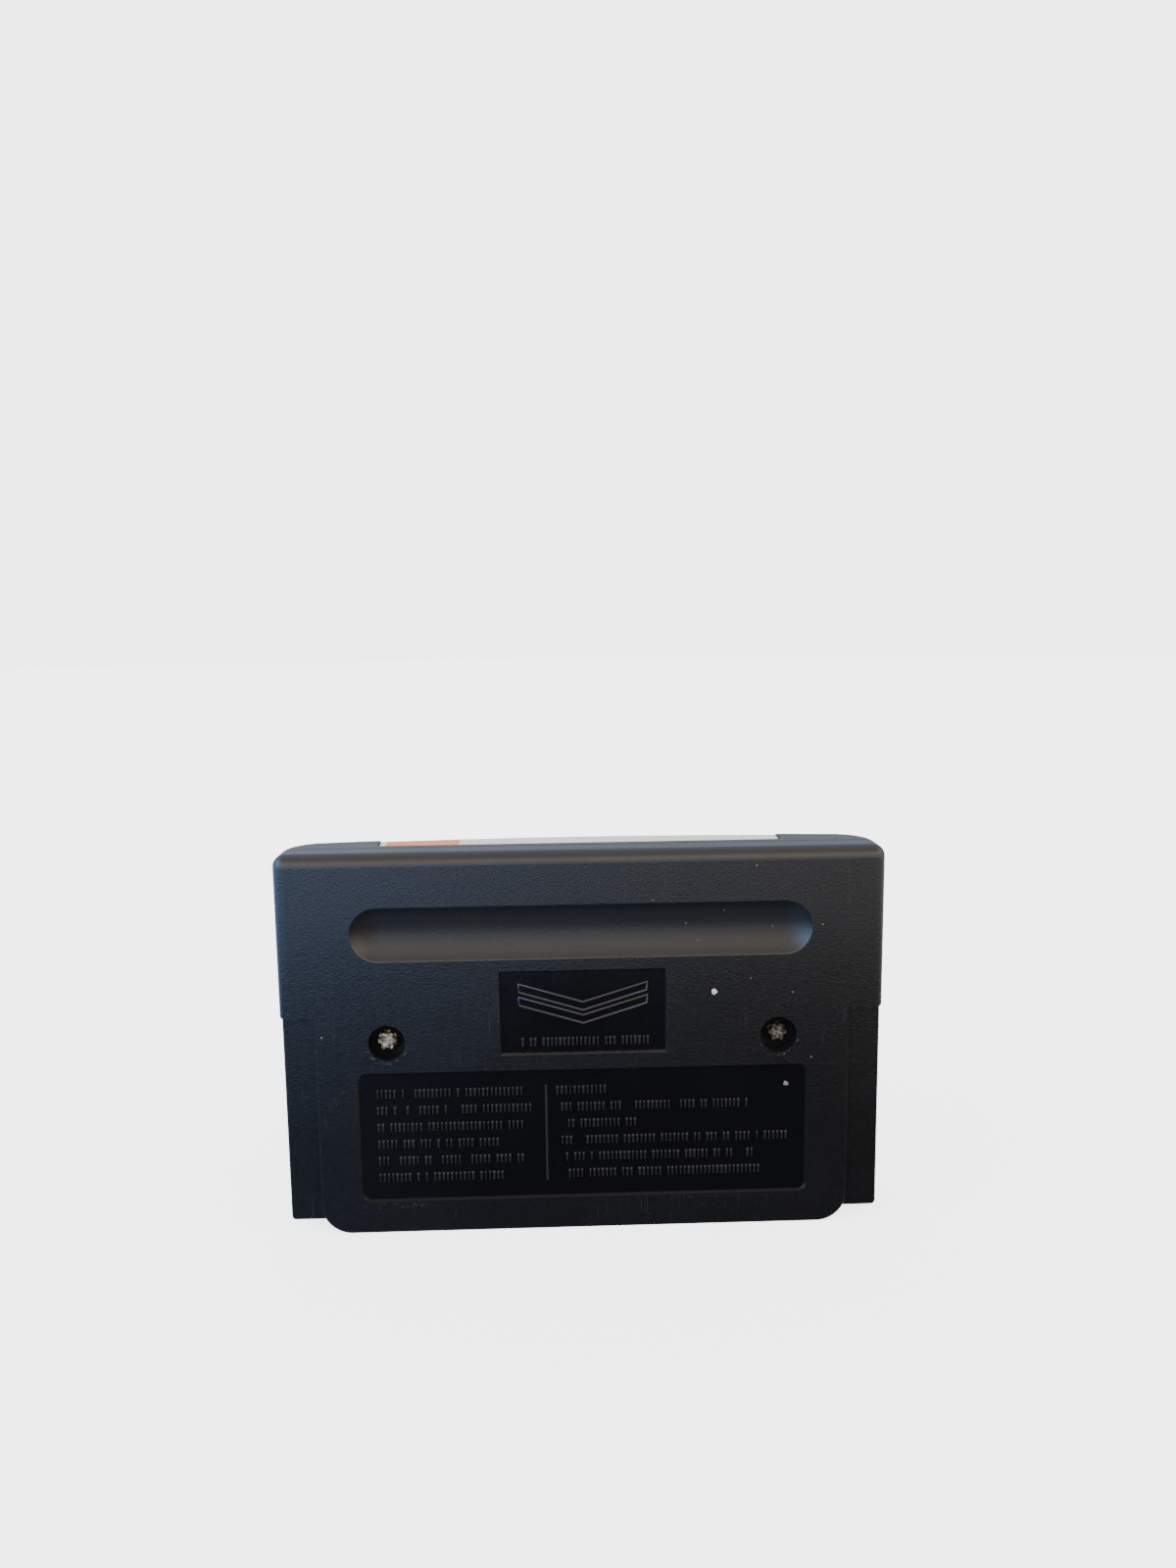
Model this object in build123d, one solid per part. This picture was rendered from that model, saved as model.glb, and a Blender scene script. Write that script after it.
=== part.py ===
from build123d import *

import os
from math import cos, pi, sin

# Game cartridge: two moulded shells, screwed together round a circuit board with an edge connector.
# X runs across it, Y from the flat back to the bowed front, and Z up from the foot of the
# connector mouth, on which it stands. The origin is the middle of the foot. All sizes are in mm.
# A depth is a distance from the plane of the flat back, towards the front.

# Case, seen from the back
case_width = 108.0
case_height = 70.0
case_edge_radius = 2.2          # of the top corners, the rim of the back and the front's top edge
shoulder_height = 40.6          # the ledge on each side
shoulder_step = 0.55            # how much further in each side lies below its ledge
shoulder_round = 0.5            # lower corner of the ledge
strip_width = 5.65              # guide strip down each side, below the ledge
strip_recess = 1.0              # depth of the guide strips
strip_foot = 2.4                # height at which the guide strips end
strip_corner_radius = 0.75
foot_corner_radius = 5.5

# Case, seen from above
case_thickness = 17.0           # to the crown of the bowed front
side_thickness = 13.0           # where the bow would meet the sides
front_corner_radius = 7.6       # of the soft corners between the bow and the sides, past the seam
wall = 1.8
edge_break = 0.4                # round of the small moulded edges
parting_chamfer = 0.15          # on both shells where they meet
same_depth = 0.001              # within which an edge counts as lying on a plane

# Locating lip of the rear shell, inside the upper wall of the front shell
lip_thickness = 0.6
lip_height = 1.0
lip_clearance = 0.1

# Finger groove across the back
groove_length = 81.6
groove_breadth = 9.6
groove_depth = 2.2
groove_height = 55.6
groove_rim_radius = 0.3

# Sunk panels of the back
panel_sink = 0.4
panel_wall_slope = 40.0         # degrees, so that the walls open outwards
upper_panel_width = 29.8
upper_panel_foot = 33.1
upper_panel_height = 15.5
lower_panel_width = 80.6
lower_panel_foot = 6.0
lower_panel_height = 24.3
lower_panel_corner_radius = 1.6

# Label on the front, folded over the top
label_width = 73.4              # of its recess
label_foot = 15.0
label_top_depth = 8.0           # where it ends on top of the case
label_corner_radius = 1.5
label_recess = 0.4
label_thickness = 0.15
label_glue = 0.03
label_margin = 0.3              # between the label and the rim of its recess

# Screws and the posts that take them
screw_spacing = 70.0
screw_height = 35.9
screw_well_diameter = 6.5
screw_well_depth = 2.9
screw_hole_diameter = 3.0
screw_flange_diameter = 5.0
screw_flange_thickness = 0.6
screw_lobe_circle = 2.7         # on which the six lobes of the head lie
screw_lobe_diameter = 0.9
screw_lobe_count = 6
screw_head_height = 1.3         # above the flange
screw_head_chamfer = 0.2
screw_shank_diameter = 2.5
screw_length = 8.0
screw_point_length = 1.2
screw_thread_clearance = 0.05   # all round the plain shank
screw_tip_clearance = 0.6       # past the screw's point
boss_wall = 1.6
post_shoulder_width = 1.2       # of the ring that holds the board down
post_tip_diameter = 6.0

# Connector mouth and chamber
mouth_width = 88.0
mouth_depth = 10.2
mouth_corner_radius = 1.5
chamber_height = 17.0
rib_thickness = 1.2

# Circuit board
board_thickness = 1.6
board_foot = 5.0                # contact edge above the foot of the mouth
board_tongue_height = 11.0
board_height = 42.0
board_side_clearance = 4.6
board_hole_clearance = 0.2      # round the posts
board_front_clearance = 0.1     # under the posts and ribs of the front shell
board_corner_chamfer = 1.0
board_edge_chamfer = 0.4        # lead-in along the contact edge
contact_count = 32
contact_pitch = 2.54
contact_width = 1.6
contact_length = 9.0
contact_thickness = 0.05
contact_edge_gap = 0.6
contact_end_margin = 1.4        # tongue beyond the outermost contacts' pitch
lead_hole_clearance = 0.1       # round each lead, where solder fills the rest of its plated hole
lead_tail = 1.2                 # behind the board

# Memory chip in a dual-in-line body
chip_height = 31.0              # of its centre line above the foot
chip_pins_a_side = 21
chip_pin_pitch = 2.54
chip_row_spacing = 15.24
chip_end_margin = 0.8
chip_body_width = 13.6
chip_body_thickness = 3.6
chip_standoff = 0.5
chip_taper = 7.0                # degrees
chip_notch_radius = 1.2
chip_notch_depth = 0.4
chip_lead_thickness = 0.25
chip_lead_width = 0.5
chip_lead_shoulder = 1.3
chip_lead_bend = 0.3            # slant on the inside of the bend

# Supply and decoupling capacitors, above the chip
capacitor_height = 43.2
can_diameter = 5.0
can_length = 11.0
can_start = -22.0               # far end of the can
can_clearance = 0.1             # over the board
can_edge_chamfer = 0.4
can_crimp_place = 2.0           # from the sealed end
can_crimp_width = 1.2
can_crimp_depth = 0.35
seal_diameter = 3.8
seal_length = 0.6
wire_diameter = 0.5
wire_spacing = 2.0
wire_run = 1.2                  # straight, out of the seal
wire_bend_radius = 0.9
disc_place = 14.0
disc_diameter = 5.0
disc_thickness = 2.4
disc_edge_chamfer = 0.7
disc_standoff = 0.9
disc_wire_spacing = 2.54

# Worked out from the sizes above
lower_half = case_width / 2 - shoulder_step
foot_half = lower_half - strip_width
seam_depth = wall + (mouth_depth - board_thickness) / 2
board_front = seam_depth + board_thickness
mouth_front = wall + mouth_depth
bow_rise = case_thickness - side_thickness
bow_radius = ((case_width / 2) ** 2 + bow_rise**2) / (2 * bow_rise)
groove_radius = ((groove_breadth / 2) ** 2 + groove_depth**2) / (2 * groove_depth)
boss_radius = screw_well_diameter / 2 + boss_wall
post_radius = post_tip_diameter / 2 + post_shoulder_width
screw_places = [-screw_spacing / 2, screw_spacing / 2]
hold_down = board_front + board_front_clearance
board_half = lower_half - wall - board_side_clearance
tongue_half = contact_count * contact_pitch / 2 + contact_end_margin
chip_body_depth = board_front + chip_standoff + chip_body_thickness / 2
chip_row_heights = [chip_height - chip_row_spacing / 2, chip_height + chip_row_spacing / 2]
can_axis_depth = board_front + can_clearance + can_diameter / 2
wire_drop_place = can_start + can_length + seal_length + wire_run + wire_bend_radius
disc_axis_depth = board_front + disc_standoff + disc_diameter / 2


def at(depth):
    """The Y of a depth."""
    return depth - case_thickness / 2


def rectangle(left, right, foot, top):
    """A rectangle seen from the back, between two places across and two heights."""
    return Pos((left + right) / 2, (foot + top) / 2) * Rectangle(right - left, top - foot)


def slab(outline, near, far):
    """An outline seen from the back, extruded between two depths."""
    plane = Plane(origin=(0, at(far), 0), x_dir=(1, 0, 0), z_dir=(0, -1, 0))
    return extrude(plane * outline, amount=far - near)


def round_bar(across, height, diameter, near, far):
    """A round bar between two depths, seen from the back as a circle."""
    return slab(Pos(across, height) * Circle(diameter / 2), near, far)


def evenly(count, pitch):
    """Places across at an even pitch, centred."""
    return [(number - (count - 1) / 2) * pitch for number in range(count)]


def upper_block(inset):
    """The case above the ledges with square corners, drawn in by inset."""
    half = case_width / 2 - inset
    return rectangle(-half, half, shoulder_height, case_height - inset)


def upper_outline(inset):
    """The case above the ledges with its round top corners, drawn in by inset."""
    outline = upper_block(inset)
    return fillet(outline.vertices().group_by(Axis.Y)[-1], case_edge_radius - inset)


def strip_outline(inset):
    """The case below the ledges with both guide strips, drawn in by inset."""
    half = lower_half - inset
    return rectangle(-half, half, strip_foot + inset, shoulder_height)


def foot_outline(inset):
    """The middle of the case below the ledges, down to the foot, drawn in by inset."""
    half = foot_half - inset
    return rectangle(-half, half, inset, shoulder_height)


def rounded_foot(outline, radius):
    """An outline with its two lower corners rounded."""
    return fillet(outline.vertices().group_by(Axis.Y)[0], radius)


def cavity_outline():
    """The inside of the case."""
    return upper_outline(wall) + strip_outline(wall) + foot_outline(wall)


def chamber_roof():
    """The rib that closes the connector's chamber from above."""
    return rectangle(-foot_half, foot_half, chamber_height, chamber_height + rib_thickness)


def mouth():
    """The space that a connector enters, from below the foot to the roof of the chamber."""
    centre = at(wall + mouth_depth / 2)
    opening = RectangleRounded(mouth_width, mouth_depth, mouth_corner_radius)
    return extrude(Pos(0, centre, -wall) * opening, amount=chamber_height + wall)


def on_depth(shape, depth):
    """The edges of a shape that lie in the plane of a depth."""
    return shape.edges().filter_by_position(Axis.Y, at(depth) - same_depth, at(depth) + same_depth)


def groove(offset):
    """The round bar with ball ends that forms the finger groove, grown by offset."""
    radius = groove_radius + offset
    reach = (groove_length - groove_breadth) / 2
    bar = Rot(0, 90, 0) * Cylinder(radius, 2 * reach)
    balls = [Pos(side * reach, 0, 0) * Sphere(radius) for side in (-1, 1)]
    return Pos(0, at(groove_depth - groove_radius), groove_height) * (bar + balls)


def sunk_panel(outline):
    """A shallow panel pressed into the back, with sloping walls."""
    back = Plane(origin=(0, at(0), 0), x_dir=(1, 0, 0), z_dir=(0, -1, 0))
    return extrude(back * outline, amount=-panel_sink, taper=panel_wall_slope)


def rear_form():
    """The outside of the rear shell."""
    upper = slab(upper_block(0), 0, seam_depth)
    rim = [edge for edge in on_depth(upper, 0) if edge.center().Z > shoulder_height + edge_break]
    top_corners = upper.edges().filter_by(Axis.Y).group_by(Axis.Z)[-1]
    upper = fillet(rim + top_corners, case_edge_radius)
    upper &= slab(rounded_foot(upper_block(0), shoulder_round), 0, seam_depth)
    strips = slab(rounded_foot(strip_outline(0), strip_corner_radius), strip_recess, seam_depth)
    strip_rim = [e for e in on_depth(strips, strip_recess) if e.center().Z < shoulder_height - edge_break]
    strips = fillet(strip_rim, edge_break)
    middle = slab(rounded_foot(foot_outline(0), foot_corner_radius), 0, seam_depth)
    middle_rim = [e for e in on_depth(middle, 0) if e.center().Z < shoulder_height - edge_break]
    middle = fillet(middle_rim, edge_break)
    form = upper + strips + middle
    return chamfer(on_depth(form, seam_depth), parting_chamfer)


def rear_shell():
    """Flat back half of the case, with the finger groove, the screw wells and the locating lip."""
    strip_zone = rectangle(-case_width, case_width, -wall, shoulder_height + wall)
    strip_zone -= rectangle(wall - foot_half, foot_half - wall, -wall, case_height)
    cavity = slab(cavity_outline() - strip_zone, wall, seam_depth)
    cavity += slab(cavity_outline(), wall + strip_recess, seam_depth)
    cavity -= slab(chamber_roof(), 0, seam_depth)
    cavity -= groove(wall)
    shell = rear_form() - groove(0)
    rim = [
        edge
        for edge in on_depth(shell, 0)
        if abs(edge.center().Z - groove_height) < groove_breadth
        and abs(edge.center().X) < groove_length / 2
    ]
    shell = fillet(rim, groove_rim_radius)
    for across in screw_places:
        cavity -= round_bar(across, screw_height, 2 * boss_radius, 0, seam_depth)
    shell -= cavity
    shell -= mouth()
    for across in screw_places:
        shell -= round_bar(across, screw_height, screw_well_diameter, -wall, screw_well_depth)
        shell -= round_bar(across, screw_height, screw_hole_diameter, 0, seam_depth)
    upper_panel = Rectangle(upper_panel_width, upper_panel_height)
    lower_panel = RectangleRounded(lower_panel_width, lower_panel_height, lower_panel_corner_radius)
    shell -= sunk_panel(Pos(0, upper_panel_foot + upper_panel_height / 2) * upper_panel)
    shell -= sunk_panel(Pos(0, lower_panel_foot + lower_panel_height / 2) * lower_panel)
    lip = upper_outline(wall - lip_thickness) - upper_outline(wall)
    return shell + slab(lip, seam_depth, seam_depth + lip_height)


def bow(inset):
    """The bowed front as the side of a large round solid, drawn in by inset."""
    centre = case_thickness / 2 - bow_radius
    return Pos(0, centre, case_height / 2) * Cylinder(bow_radius - inset, 2 * case_height)


def plan_form(half, inset):
    """The case as seen from above, with its sides at half and soft front corners, drawn in by inset."""
    reach = half - inset
    centre = case_thickness / 2 - bow_radius
    outline = Rectangle(2 * reach, case_thickness) & Pos(0, centre) * Circle(bow_radius - inset)
    front_corners = outline.vertices().group_by(Axis.Y)[-1]
    outline = fillet(front_corners, front_corner_radius - inset)
    return extrude(Pos(0, 0, -wall) * outline, amount=2 * case_height)


def front_form():
    """The outside of the front shell, without the label's recess."""
    upper_plan = plan_form(case_width / 2, 0)
    lower_plan = plan_form(lower_half, 0)
    upper = slab(upper_block(0), seam_depth, case_thickness) & upper_plan
    top = upper.faces().sort_by(Axis.Z)[-1]
    front_rim = [edge for edge in top.edges() if edge.center().Y > at(seam_depth) + same_depth]
    upper = fillet(front_rim, case_edge_radius)
    upper &= slab(rounded_foot(upper_block(0), shoulder_round), seam_depth, case_thickness)
    strips = slab(rounded_foot(strip_outline(0), strip_corner_radius), seam_depth, case_thickness)
    middle = slab(rounded_foot(foot_outline(0), foot_corner_radius), seam_depth, case_thickness) & lower_plan
    front_edges = [edge for edge in middle.edges() if edge.center().Y > at(mouth_front)]
    middle = chamfer([edge for edge in front_edges if edge.center().Z < foot_corner_radius], edge_break)
    form = upper + (strips & lower_plan) + middle
    return chamfer(on_depth(form, seam_depth), parting_chamfer)


def label_form(inset):
    """The front and the top of the case where the label lies, drawn in by inset."""
    block = slab(rectangle(-case_width / 2, case_width / 2, 0, case_height - inset), 0, case_thickness)
    block &= bow(inset)
    top_edge = block.edges().group_by(Axis.Z)[-1].sort_by(Axis.Y)[-1]
    return fillet(top_edge, case_edge_radius - inset)


def label_zone(margin):
    """All that lies before and above the label's outline, drawn in by margin."""
    half = label_width / 2 - margin
    outline = rectangle(-half, half, label_foot + margin, 2 * case_height)
    zone = slab(outline, label_top_depth + margin, 2 * case_thickness)
    top_corners = zone.edges().filter_by(Axis.Z).group_by(Axis.Y)[0]
    front_corners = zone.edges().filter_by(Axis.Y).group_by(Axis.Z)[0]
    return fillet(top_corners + front_corners, label_corner_radius - margin)


def front_shell():
    """Bowed front half of the case, with the label's recess and the posts that take the screws."""
    form = front_form() - (label_zone(0) - label_form(label_recess))
    cavity = slab(upper_outline(wall), seam_depth, case_thickness) & plan_form(case_width / 2, wall)
    lower_cavity = strip_outline(wall) + foot_outline(wall)
    cavity += slab(lower_cavity, seam_depth, case_thickness) & plan_form(lower_half, wall)
    partition = rectangle(-foot_half, foot_half, 0, chamber_height + rib_thickness)
    cavity -= slab(partition, mouth_front, mouth_front + rib_thickness)
    cavity -= slab(chamber_roof(), hold_down, mouth_front)
    for across in screw_places:
        cavity -= round_bar(across, screw_height, 2 * post_radius, hold_down, case_thickness)
    rebate = upper_outline(wall - lip_thickness - lip_clearance)
    shell = form - cavity - mouth()
    shell -= slab(rebate, seam_depth, seam_depth + lip_height + lip_clearance)
    pilot_diameter = screw_shank_diameter + 2 * screw_thread_clearance
    pilot_end = screw_well_depth + screw_length + screw_tip_clearance
    for across in screw_places:
        shell += round_bar(across, screw_height, post_tip_diameter, seam_depth, hold_down)
        shell -= round_bar(across, screw_height, pilot_diameter, seam_depth, pilot_end)
    return shell


def label():
    """Paper label, glued in its recess and folded over the top of the case."""
    under = label_recess - label_glue
    paper = label_zone(label_margin) & label_form(under - label_thickness)
    return paper - label_form(under)


def circuit_board():
    """Laminate board with the tongue of the edge connector and the holes for posts and leads."""
    tongue_top = board_foot + board_tongue_height
    body = rectangle(-board_half, board_half, tongue_top, board_foot + board_height)
    body = chamfer(body.vertices(), board_corner_chamfer)
    tongue = rectangle(-tongue_half, tongue_half, board_foot, tongue_top + board_corner_chamfer)
    tongue = chamfer(tongue.vertices().group_by(Axis.Y)[0], board_corner_chamfer)
    outline = body + tongue
    post_hole = Circle(post_tip_diameter / 2 + board_hole_clearance)
    for across in screw_places:
        outline -= Pos(across, screw_height) * post_hole
    pin_hole = Rectangle(
        chip_lead_width + 2 * lead_hole_clearance,
        chip_lead_thickness + 2 * lead_hole_clearance,
    )
    for across in evenly(chip_pins_a_side, chip_pin_pitch):
        for height in chip_row_heights:
            outline -= Pos(across, height) * pin_hole
    for across, height in wire_places():
        outline -= Pos(across, height) * Circle(wire_diameter / 2 + lead_hole_clearance)
    board = slab(outline, seam_depth, board_front)
    contact_edge = board.edges().group_by(Axis.Z)[0]
    return chamfer(contact_edge.filter_by(Axis.X), board_edge_chamfer)


def wire_places():
    """Where the wires of the two capacitors go through the board."""
    can = [(wire_drop_place, capacitor_height + offset) for offset in evenly(2, wire_spacing)]
    disc = [(disc_place + offset, capacitor_height) for offset in evenly(2, disc_wire_spacing)]
    return can + disc


def contacts(near, far):
    """Row of plated contacts on one face of the tongue, between two depths."""
    foot = board_foot + board_edge_chamfer + contact_edge_gap
    finger = rectangle(-contact_width / 2, contact_width / 2, foot, foot + contact_length)
    return [slab(Pos(across, 0) * finger, near, far) for across in evenly(contact_count, contact_pitch)]


def memory_chip():
    """Moulded chip body, widest at its leads, with the notch at its first pin."""
    length = (chip_pins_a_side - 1) * chip_pin_pitch + 2 * chip_end_margin
    half_band = chip_lead_thickness / 2
    rise = chip_body_thickness / 2 - half_band
    outline = Pos(0, chip_height) * Rectangle(length, chip_body_width)
    body = slab(outline, chip_body_depth - half_band, chip_body_depth + half_band)
    faces = body.faces().sort_by(Axis.Y)
    body += [extrude(face, amount=rise, taper=chip_taper) for face in (faces[0], faces[-1])]
    top = chip_body_depth + chip_body_thickness / 2
    notch_floor = top - chip_notch_depth
    return body - round_bar(-length / 2, chip_height, 2 * chip_notch_radius, notch_floor, case_thickness)


def memory_chip_leads():
    """Bent leads that stand on the board and go through it."""
    reach = chip_row_spacing / 2 + chip_lead_thickness / 2
    start = chip_body_width / 2
    upper = chip_body_depth + chip_lead_thickness / 2
    lower = chip_body_depth - chip_lead_thickness / 2
    inner = reach - chip_lead_thickness
    bend = Polyline(
        (start, upper),
        (reach, upper),
        (reach, board_front),
        (inner, board_front),
        (inner, lower),
        (start, lower),
        close=True,
    )
    section = make_face(bend)
    outer_corner = section.vertices().sort_by_distance((reach, upper))[0]
    section = chamfer(outer_corner, chip_lead_bend + chip_lead_thickness)
    inner_corner = section.vertices().sort_by_distance((inner, lower))[0]
    section = chamfer(inner_corner, chip_lead_bend)
    side = Plane(origin=(chip_lead_shoulder / 2, at(0), 0), x_dir=(0, 0, 1), z_dir=(-1, 0, 0))
    shoulder = extrude(side * section, amount=chip_lead_shoulder)
    tail = rectangle(-chip_lead_width / 2, chip_lead_width / 2, inner, reach)
    lead = shoulder + slab(tail, seam_depth - lead_tail, board_front)
    leads = []
    for across in evenly(chip_pins_a_side, chip_pin_pitch):
        leads.append(Pos(across, 0, chip_height) * lead)
        leads.append(Pos(across, 0, chip_height) * mirror(lead, about=Plane.XY))
    return leads


def on_can_axis(place):
    """A place along the can's axis."""
    return Pos(place, at(can_axis_depth), capacitor_height)


def electrolytic_capacitor():
    """Sleeved can lying on the board, with the crimp near its sealed end."""
    radius = can_diameter / 2
    crimp = can_length - can_crimp_place
    profile = Polyline(
        (0, 0),
        (0, radius - can_edge_chamfer),
        (can_edge_chamfer, radius),
        (crimp - can_crimp_width / 2, radius),
        (crimp, radius - can_crimp_depth),
        (crimp + can_crimp_width / 2, radius),
        (can_length - can_edge_chamfer, radius),
        (can_length, radius - can_edge_chamfer),
        (can_length, 0),
        close=True,
    )
    return on_can_axis(can_start) * revolve(make_face(profile), Axis.X)


def electrolytic_seal():
    """Rubber seal at the end of the can."""
    middle = can_start + can_length + seal_length / 2
    return on_can_axis(middle) * Rot(0, 90, 0) * Cylinder(seal_diameter / 2, seal_length)


def electrolytic_leads():
    """Two wires from the seal, bent down through the board."""
    seal_face = can_start + can_length + seal_length
    leads = []
    for offset in evenly(2, wire_spacing):
        height = capacitor_height + offset
        path = FilletPolyline(
            (seal_face, at(can_axis_depth), height),
            (wire_drop_place, at(can_axis_depth), height),
            (wire_drop_place, at(seam_depth - lead_tail), height),
            radius=wire_bend_radius,
        )
        section = Plane(origin=path @ 0, z_dir=path % 0) * Circle(wire_diameter / 2)
        leads.append(sweep(section, path=path))
    return leads


def ceramic_capacitor():
    """Dipped disc that stands on its leads."""
    disc = Cylinder(disc_diameter / 2, disc_thickness)
    disc = chamfer(disc.edges().filter_by(GeomType.CIRCLE), disc_edge_chamfer)
    return Pos(disc_place, at(disc_axis_depth), capacitor_height) * disc


def ceramic_leads():
    """Two straight wires from the disc through the board."""
    tail = seam_depth - lead_tail
    wires = []
    for offset in evenly(2, disc_wire_spacing):
        wire = round_bar(disc_place + offset, capacitor_height, wire_diameter, tail, disc_axis_depth)
        wires.append(wire - ceramic_capacitor())
    return wires


def case_screw():
    """Self-tapping screw with a six-lobed head on a flange, seated in its well."""
    seat = screw_well_depth
    core = Circle(screw_lobe_circle / 2)
    lobe_angles = [2 * pi * number / screw_lobe_count for number in range(screw_lobe_count)]
    for angle in lobe_angles:
        place = Pos(screw_lobe_circle / 2 * cos(angle), screw_lobe_circle / 2 * sin(angle))
        core += place * Circle(screw_lobe_diameter / 2)
    flange_top = seat - screw_flange_thickness
    head = slab(core, flange_top - screw_head_height, flange_top)
    head = chamfer(on_depth(head, flange_top - screw_head_height), screw_head_chamfer)
    flange = round_bar(0, 0, screw_flange_diameter, flange_top, seat)
    shank = round_bar(0, 0, screw_shank_diameter, seat, seat + screw_length - screw_point_length)
    tip = Plane(origin=(0, at(seat + screw_length), 0), z_dir=(0, -1, 0))
    middle_and_foot = (Align.CENTER, Align.CENTER, Align.MIN)
    point = tip * Cone(0, screw_shank_diameter / 2, screw_point_length, align=middle_and_foot)
    return head + flange + shank + point


def case_screws():
    """The two case screws."""
    return [Pos(across, 0, screw_height) * case_screw() for across in screw_places]


os.makedirs("parts", exist_ok=True)
pieces = {
    "rear_shell": rear_shell(),
    "front_shell": front_shell(),
    "label": label(),
    "circuit_board": circuit_board(),
    "rear_contacts": contacts(seam_depth - contact_thickness, seam_depth),
    "front_contacts": contacts(board_front, board_front + contact_thickness),
    "memory_chip": memory_chip(),
    "memory_chip_leads": memory_chip_leads(),
    "electrolytic_capacitor": electrolytic_capacitor(),
    "electrolytic_seal": electrolytic_seal(),
    "electrolytic_leads": electrolytic_leads(),
    "ceramic_capacitor": ceramic_capacitor(),
    "ceramic_leads": ceramic_leads(),
    "case_screws": case_screws(),
}
for name, piece in pieces.items():
    solids = Compound(children=piece) if isinstance(piece, list) else piece
    export_step(solids, f"parts/{name}.step")
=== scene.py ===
# %% [markdown]
# # A game cartridge, seen from its flat back
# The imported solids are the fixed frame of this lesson: two moulded shells, a label, two screws and
# a circuit board. Nothing here moves or resizes them. The cells below give each piece its finish,
# and add what a mould leaves on the plastic and what years of use leave on top of it. Sizes are in
# millimetres, unless a comment says otherwise, and MM turns them into Blender's metres.

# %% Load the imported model
import math

import bmesh
import bpy
from mathutils import Matrix, Vector


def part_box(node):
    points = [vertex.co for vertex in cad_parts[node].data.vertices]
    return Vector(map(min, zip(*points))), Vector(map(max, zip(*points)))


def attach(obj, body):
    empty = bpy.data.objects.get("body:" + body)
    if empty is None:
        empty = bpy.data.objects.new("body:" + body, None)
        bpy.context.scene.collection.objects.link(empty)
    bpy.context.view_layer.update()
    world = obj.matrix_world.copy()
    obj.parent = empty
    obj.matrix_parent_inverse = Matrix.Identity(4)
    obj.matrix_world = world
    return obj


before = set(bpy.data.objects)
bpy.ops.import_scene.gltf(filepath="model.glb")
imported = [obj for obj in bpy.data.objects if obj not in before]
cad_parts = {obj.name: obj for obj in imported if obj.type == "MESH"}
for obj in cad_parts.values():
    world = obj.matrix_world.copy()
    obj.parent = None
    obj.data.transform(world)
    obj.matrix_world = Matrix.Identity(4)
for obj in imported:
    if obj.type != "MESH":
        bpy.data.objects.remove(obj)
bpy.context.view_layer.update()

MM = 0.001
back_corner, front_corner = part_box("rear_shell")
back_plane = back_corner.y / MM
case_top = front_corner.z / MM
case_half = front_corner.x / MM
print("nodes:", len(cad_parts), "case in mm:", [round(2 * case_half, 2), round(case_top, 2)])

# %% [markdown]
# ## Node maths as plain Python
# A finish is a small web of nodes, and so is a Geometry Nodes tree. Placing each node by hand hides
# the idea behind the wiring, so one class wraps a socket and lets plus, minus and times add the
# Math nodes. Every other node comes from the same method, which sets the node up first and then
# feeds its sockets.

# %% A socket that can be used in sums


class Wire:
    """One output socket of a node tree."""

    def __init__(self, tree, socket):
        self.tree = tree
        self.socket = socket

    def node(self, kind, settings, inputs, output=0):
        """Adds a node, sets it up, feeds its inputs by name or number, and returns one output."""
        made = self.tree.nodes.new(kind)
        for name, value in settings.items():
            setattr(made, name, value)
        for key, value in inputs.items():
            feed(made, key, value)
        return Wire(self.tree, made.outputs[output])

    def maths(self, operation, first, second=0.0):
        """A Math node of one or two numbers."""
        return self.node("ShaderNodeMath", {"operation": operation}, {0: first, 1: second})

    def __add__(self, other):
        return self.maths("ADD", self, other)

    def __sub__(self, other):
        return self.maths("SUBTRACT", self, other)

    def __rsub__(self, other):
        return self.maths("SUBTRACT", other, self)

    def __mul__(self, other):
        return self.maths("MULTIPLY", self, other)

    __radd__ = __add__
    __rmul__ = __mul__

    def apply(self, operation):
        """A sum of one number, such as its sine or its square root."""
        return self.maths(operation, self)

    def either(self, other):
        """The larger of two numbers."""
        return self.maths("MAXIMUM", self, other)

    def least(self, other):
        """The smaller of two numbers."""
        return self.maths("MINIMUM", self, other)

    def ramp(self, start, end):
        """0 at start, 1 at end, with a soft rise between them."""
        soft = {"interpolation_type": "SMOOTHSTEP"}
        return self.node("ShaderNodeMapRange", soft, {"Value": self, "From Min": start, "From Max": end})

    def above(self, edge, soft):
        """1 above an edge, with a soft rise across it."""
        return self.ramp(edge - soft, edge + soft)

    def below(self, edge, soft):
        """1 below an edge, with a soft fall across it."""
        return self.ramp(edge + soft, edge - soft)

    def band(self, low, high, soft):
        """1 between two values, with soft ends."""
        return self.above(low, soft) * self.below(high, soft)

    def mix(self, first, second):
        """The first colour where this mask is 0, and the second where it is 1."""
        return self.node("ShaderNodeMix", {"data_type": "RGBA"}, {0: self, 6: first, 7: second}, 2)

    def split(self):
        """The three numbers of a vector."""
        parts = self.node("ShaderNodeSeparateXYZ", {}, {0: self}).socket.node
        return [Wire(self.tree, part) for part in parts.outputs]

    def stretched(self, scale, turn=(0.0, 0.0, 0.0)):
        """A place turned, and then scaled along each axis."""
        return self.node("ShaderNodeMapping", {}, {"Vector": self, "Rotation": turn, "Scale": scale})

    def blotches(self, size, detail=2.0):
        """Soft random blotches of about a size, from 0 to 1."""
        return self.node("ShaderNodeTexNoise", {}, {"Vector": self, "Scale": 1.0 / size, "Detail": detail})

    def bump(self, strength, depth):
        """A normal that follows this height, down to a depth."""
        relief = {"Strength": strength, "Distance": depth * MM, "Height": self}
        return self.node("ShaderNodeBump", {}, relief)


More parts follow.
